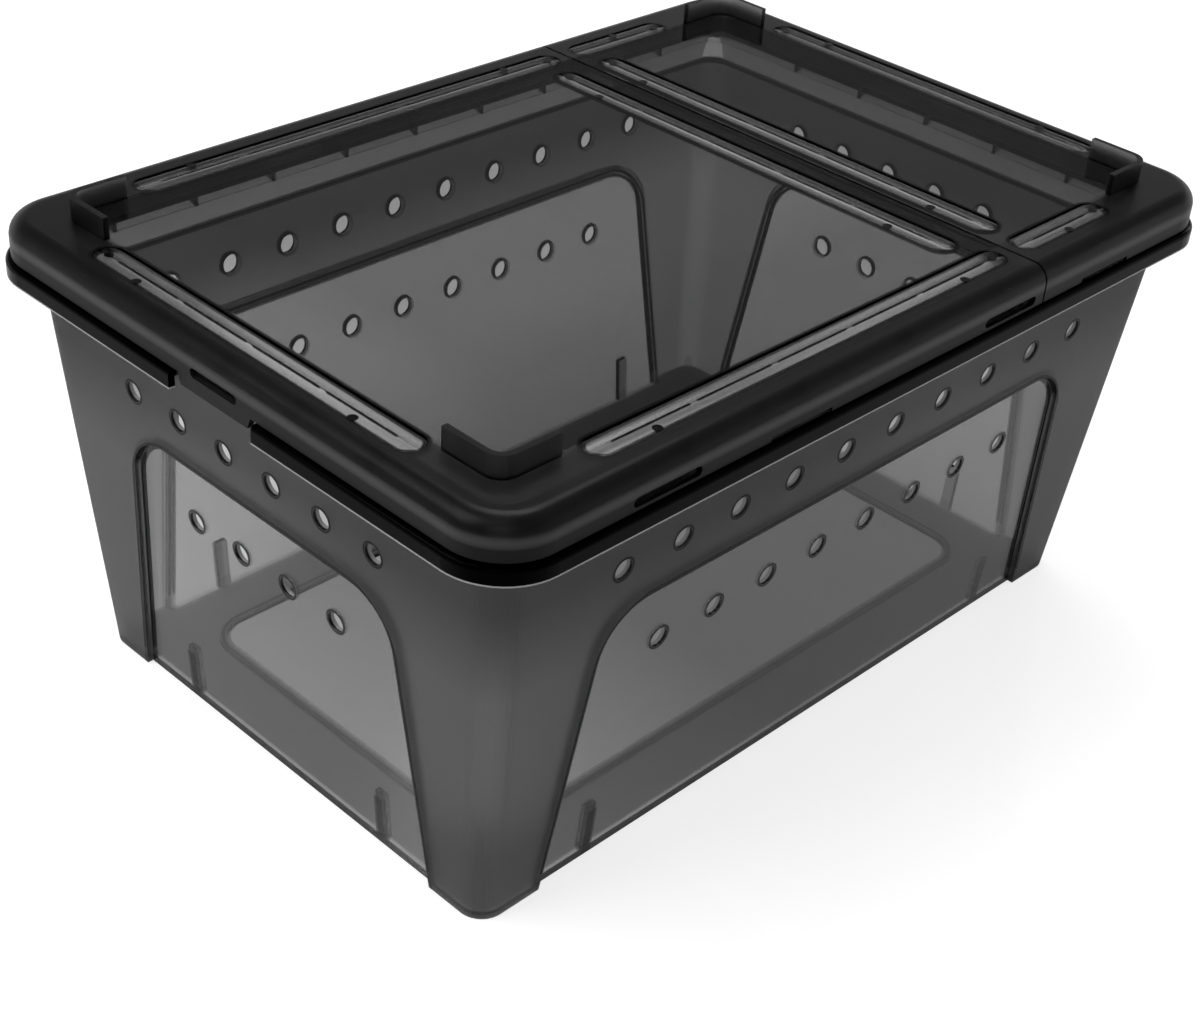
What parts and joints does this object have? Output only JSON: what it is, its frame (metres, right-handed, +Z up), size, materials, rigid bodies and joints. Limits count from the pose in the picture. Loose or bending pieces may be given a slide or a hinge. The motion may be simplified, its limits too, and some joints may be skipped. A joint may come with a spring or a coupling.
{
  "type": "plastic pet keeper",
  "caption": "Low tapered box for small animals with window panels, rows of air holes and a push-on lid in two parts, with slitted vent strips and corner walls for stacking.",
  "frame": {"origin": "centre of the underside, on the surface that the keeper stands on", "axes": "+X along the long side towards the hatch lid, +Y along the short side, +Z up"},
  "size_m": [0.32, 0.223, 0.1575],
  "materials": {
    "smoke_tub": "translucent grey, frosted on the legs, band and floor edge, polished on the window panels",
    "smoke_lid": "dark translucent grey, satin on the rim and polished on the plate",
    "clear_vent": "light translucent grey, polished"
  },
  "bodies": {
    "tub": {"tub": "smoke_tub"},
    "main_lid": {"main_lid": "smoke_lid", "end_vent_strip": "clear_vent", "left_vent_strip": "clear_vent", "right_vent_strip": "clear_vent", "split_vent_strip": "clear_vent"},
    "hatch_lid": {"hatch_lid": "smoke_lid", "hatch_split_vent_strip": "clear_vent", "hatch_left_vent_strip": "clear_vent", "hatch_right_vent_strip": "clear_vent", "hatch_end_vent_strip": "clear_vent"}
  },
  "joints": [
    {"name": "main_lid_lift", "type": "slide", "parent": "tub", "child": "main_lid", "axis": [0, 0, 1], "range_m": [0, 0.08]},
    {"name": "hatch_lid_lift", "type": "slide", "parent": "tub", "child": "hatch_lid", "axis": [0, 0, 1], "range_m": [0, 0.08]}
  ]
}
